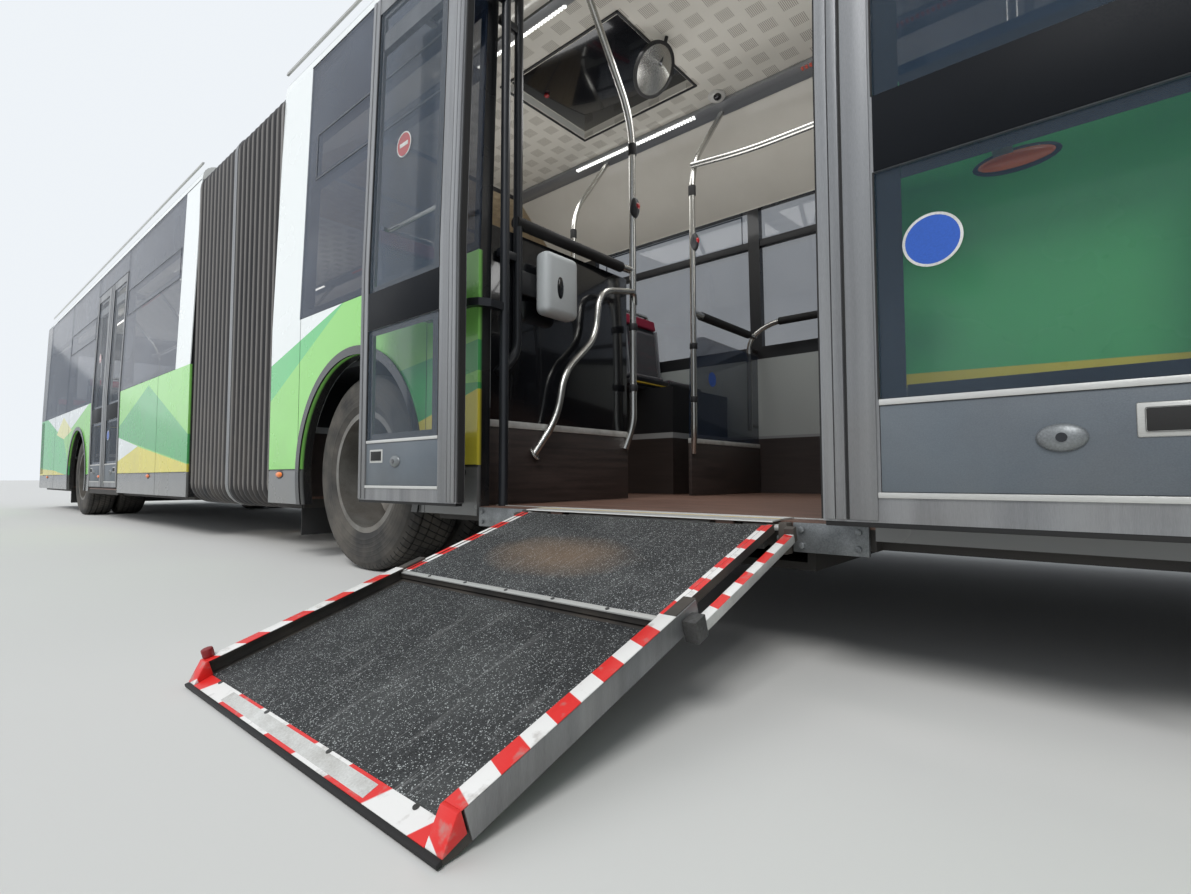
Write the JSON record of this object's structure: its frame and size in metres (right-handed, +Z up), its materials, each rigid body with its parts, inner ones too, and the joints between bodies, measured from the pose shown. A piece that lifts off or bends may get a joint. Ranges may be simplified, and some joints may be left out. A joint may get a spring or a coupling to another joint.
{
  "type": "articulated low-floor city bus",
  "caption": "Articulated low-floor bus with plug doors, one door open and its wheelchair ramp laid out; the rear section turns on a bellows joint.",
  "frame": {"origin": "on the ground below the middle of the whole vehicle's box, ramp and mirrors included", "axes": "+X to the bus's front along its length, +Y to its left side, +Z up"},
  "size_m": [18.3, 3.7748, 3.13],
  "materials": {
    "body_paint": "gloss two-tone green panels with triangles and a grey skirt",
    "roof_paint": "gloss white",
    "tinted_glass": "tinted, bonded",
    "door_aluminium": "satin anodised",
    "black_steel": "satin black",
    "floor_covering": "dark wood-look sheet",
    "bellows_fabric": "matt coated fabric",
    "seat_fabric": "woven, dark with red and yellow",
    "stainless_steel": "brushed",
    "black_plastic": "grained",
    "cast_metal": "painted, oily",
    "ramp_coating": "gritty anti-slip coating",
    "tyre": "matt, dusty",
    "wheel_metal": "silver paint, dusty"
  },
  "bodies": {
    "front_section": {"front_floor": "floor_covering", "front_left_side": "body_paint", "front_right_side": "body_paint", "front_roof": "roof_paint", "front_mask": "body_paint", "front_glass": "tinted_glass", "windscreen": "tinted_glass", "turntable": "black_steel", "front_axle": "black_steel", "middle_axle": "black_steel", "front_seats": "seat_fabric", "front_rails": "stainless_steel", "drivers_cab": "black_plastic", "mirrors": "black_plastic"},
    "rear_section": {"rear_floor": "floor_covering", "rear_left_side": "body_paint", "rear_right_side": "body_paint", "rear_roof": "roof_paint", "rear_panel": "body_paint", "rear_glass": "tinted_glass", "rear_axle": "black_steel", "rear_seats": "seat_fabric", "rear_rails": "stainless_steel", "engine": "cast_metal"},
    "middle_hoop": {"hoop": "door_aluminium", "bellows": "bellows_fabric"},
    "knuckle_left": {"knuckle_left": "black_steel"},
    "knuckle_right": {"knuckle_right": "black_steel"},
    "wheel_front_left": {"tyre_front_left": "tyre", "rim_front_left": "wheel_metal"},
    "wheel_front_right": {"tyre_front_right": "tyre", "rim_front_right": "wheel_metal"},
    "wheels_middle_left": {"tyres_middle_left": "tyre", "rims_middle_left": "wheel_metal"},
    "wheels_middle_right": {"tyres_middle_right": "tyre", "rims_middle_right": "wheel_metal"},
    "wheels_rear_left": {"tyres_rear_left": "tyre", "rims_rear_left": "wheel_metal"},
    "wheels_rear_right": {"tyres_rear_right": "tyre", "rims_rear_right": "wheel_metal"},
    "door_1_front_arm": {"door_1_front_arm": "black_steel"},
    "door_1_front_leaf": {"door_1_front_leaf": "door_aluminium", "door_1_front_glass": "tinted_glass"},
    "door_1_rear_arm": {"door_1_rear_arm": "black_steel"},
    "door_1_rear_leaf": {"door_1_rear_leaf": "door_aluminium", "door_1_rear_glass": "tinted_glass"},
    "door_2_front_arm": {"door_2_front_arm": "black_steel"},
    "door_2_front_leaf": {"door_2_front_leaf": "door_aluminium", "door_2_front_glass": "tinted_glass"},
    "door_2_rear_arm": {"door_2_rear_arm": "black_steel"},
    "door_2_rear_leaf": {"door_2_rear_leaf": "door_aluminium", "door_2_rear_glass": "tinted_glass"},
    "door_3_front_arm": {"door_3_front_arm": "black_steel"},
    "door_3_front_leaf": {"door_3_front_leaf": "door_aluminium", "door_3_front_glass": "tinted_glass"},
    "door_3_rear_arm": {"door_3_rear_arm": "black_steel"},
    "door_3_rear_leaf": {"door_3_rear_leaf": "door_aluminium", "door_3_rear_glass": "tinted_glass"},
    "ramp_upper": {"ramp_inner": "ramp_coating"},
    "ramp_lower": {"ramp_outer": "ramp_coating"}
  },
  "joints": [
    {"name": "articulation", "type": "hinge", "parent": "front_section", "child": "rear_section", "pos_m": [-0.8125, 0.38394, 0.3], "axis": [0, 0, 1], "range_deg": [-45, 45], "deforming": ["bellows"]},
    {"name": "hoop_turn", "type": "hinge", "parent": "front_section", "child": "middle_hoop", "pos_m": [-0.8125, 0.38394, 0.3], "axis": [0, 0, 1], "range_deg": [-22.5, 22.5]},
    {"name": "steer_left", "type": "hinge", "parent": "front_section", "child": "knuckle_left", "pos_m": [6.3, 1.24394, 0.478], "axis": [0, 0, 1], "range_deg": [-40, 40]},
    {"name": "steer_right", "type": "hinge", "parent": "front_section", "child": "knuckle_right", "pos_m": [6.3, -0.47606, 0.478], "axis": [0, 0, 1], "range_deg": [-40, 40]},
    {"name": "spin_front_left", "type": "hinge", "parent": "knuckle_left", "child": "wheel_front_left", "pos_m": [6.3, 1.46144, 0.478], "axis": [0, 1, 0], "continuous": true},
    {"name": "spin_front_right", "type": "hinge", "parent": "knuckle_right", "child": "wheel_front_right", "pos_m": [6.3, -0.69356, 0.478], "axis": [0, 1, 0], "continuous": true},
    {"name": "spin_middle_left", "type": "hinge", "parent": "front_section", "child": "wheels_middle_left", "pos_m": [0.95, 1.30644, 0.478], "axis": [0, 1, 0], "continuous": true},
    {"name": "spin_middle_right", "type": "hinge", "parent": "front_section", "child": "wheels_middle_right", "pos_m": [0.95, -0.53856, 0.478], "axis": [0, 1, 0], "continuous": true},
    {"name": "spin_rear_left", "type": "hinge", "parent": "rear_section", "child": "wheels_rear_left", "pos_m": [-5.95, 1.30644, 0.478], "axis": [0, 1, 0], "continuous": true},
    {"name": "spin_rear_right", "type": "hinge", "parent": "rear_section", "child": "wheels_rear_right", "pos_m": [-5.95, -0.53856, 0.478], "axis": [0, 1, 0], "continuous": true},
    {"name": "door_1_front_swing", "type": "hinge", "parent": "front_section", "child": "door_1_front_arm", "pos_m": [8.39, -0.79706, 1.09], "axis": [0, 0, 1], "range_deg": [0, 155]},
    {"name": "door_1_front_link", "type": "hinge", "parent": "door_1_front_arm", "child": "door_1_front_leaf", "pos_m": [8.059, -0.79706, 1.09], "axis": [0, 0, 1], "range_deg": [-155, 0]},
    {"name": "door_1_rear_swing", "type": "hinge", "parent": "front_section", "child": "door_1_rear_arm", "pos_m": [7.07, -0.79706, 1.09], "axis": [0, 0, 1], "range_deg": [-155, 0]},
    {"name": "door_1_rear_link", "type": "hinge", "parent": "door_1_rear_arm", "child": "door_1_rear_leaf", "pos_m": [7.401, -0.79706, 1.09], "axis": [0, 0, 1], "range_deg": [0, 155]},
    {"name": "door_2_front_swing", "type": "hinge", "parent": "front_section", "child": "door_2_front_arm", "pos_m": [3.27, -0.79706, 1.09], "axis": [0, 0, 1], "range_deg": [-155, 0]},
    {"name": "door_2_front_link", "type": "hinge", "parent": "door_2_front_arm", "child": "door_2_front_leaf", "pos_m": [3.56999, -0.93695, 1.09], "axis": [0, 0, 1], "range_deg": [0, 155]},
    {"name": "door_2_rear_swing", "type": "hinge", "parent": "front_section", "child": "door_2_rear_arm", "pos_m": [1.95, -0.79706, 1.09], "axis": [0, 0, 1], "range_deg": [0, 155]},
    {"name": "door_2_rear_link", "type": "hinge", "parent": "door_2_rear_arm", "child": "door_2_rear_leaf", "pos_m": [1.65001, -0.93695, 1.09], "axis": [0, 0, 1], "range_deg": [-155, 0]},
    {"name": "door_3_front_swing", "type": "hinge", "parent": "rear_section", "child": "door_3_front_arm", "pos_m": [-3.85, -0.79706, 1.09], "axis": [0, 0, 1], "range_deg": [0, 155]},
    {"name": "door_3_front_link", "type": "hinge", "parent": "door_3_front_arm", "child": "door_3_front_leaf", "pos_m": [-4.181, -0.79706, 1.09], "axis": [0, 0, 1], "range_deg": [-155, 0]},
    {"name": "door_3_rear_swing", "type": "hinge", "parent": "rear_section", "child": "door_3_rear_arm", "pos_m": [-5.17, -0.79706, 1.09], "axis": [0, 0, 1], "range_deg": [-155, 0]},
    {"name": "door_3_rear_link", "type": "hinge", "parent": "door_3_rear_arm", "child": "door_3_rear_leaf", "pos_m": [-4.839, -0.79706, 1.09], "axis": [0, 0, 1], "range_deg": [0, 155]},
    {"name": "ramp_tilt", "type": "hinge", "parent": "front_section", "child": "ramp_upper", "pos_m": [2.655, -0.90606, 0.325], "axis": [-1, 0, 0], "range_deg": [0, 17.4]},
    {"name": "ramp_slide", "type": "slide", "parent": "ramp_upper", "child": "ramp_lower", "axis": [0, 0.9542, 0.299], "range_m": [0, 0.36]}
  ],
  "couplings": [
    {"joint": "hoop_turn", "follows": "articulation", "ratio": 0.5},
    {"joint": "steer_right", "follows": "steer_left", "ratio": 1},
    {"joint": "door_1_front_link", "follows": "door_1_front_swing", "ratio": -1},
    {"joint": "door_1_rear_swing", "follows": "door_1_front_swing", "ratio": -1},
    {"joint": "door_1_rear_link", "follows": "door_1_front_swing", "ratio": 1},
    {"joint": "door_2_front_link", "follows": "door_2_front_swing", "ratio": -1},
    {"joint": "door_2_rear_swing", "follows": "door_2_front_swing", "ratio": -1},
    {"joint": "door_2_rear_link", "follows": "door_2_front_swing", "ratio": 1},
    {"joint": "door_3_front_link", "follows": "door_3_front_swing", "ratio": -1},
    {"joint": "door_3_rear_swing", "follows": "door_3_front_swing", "ratio": -1},
    {"joint": "door_3_rear_link", "follows": "door_3_front_swing", "ratio": 1}
  ]
}
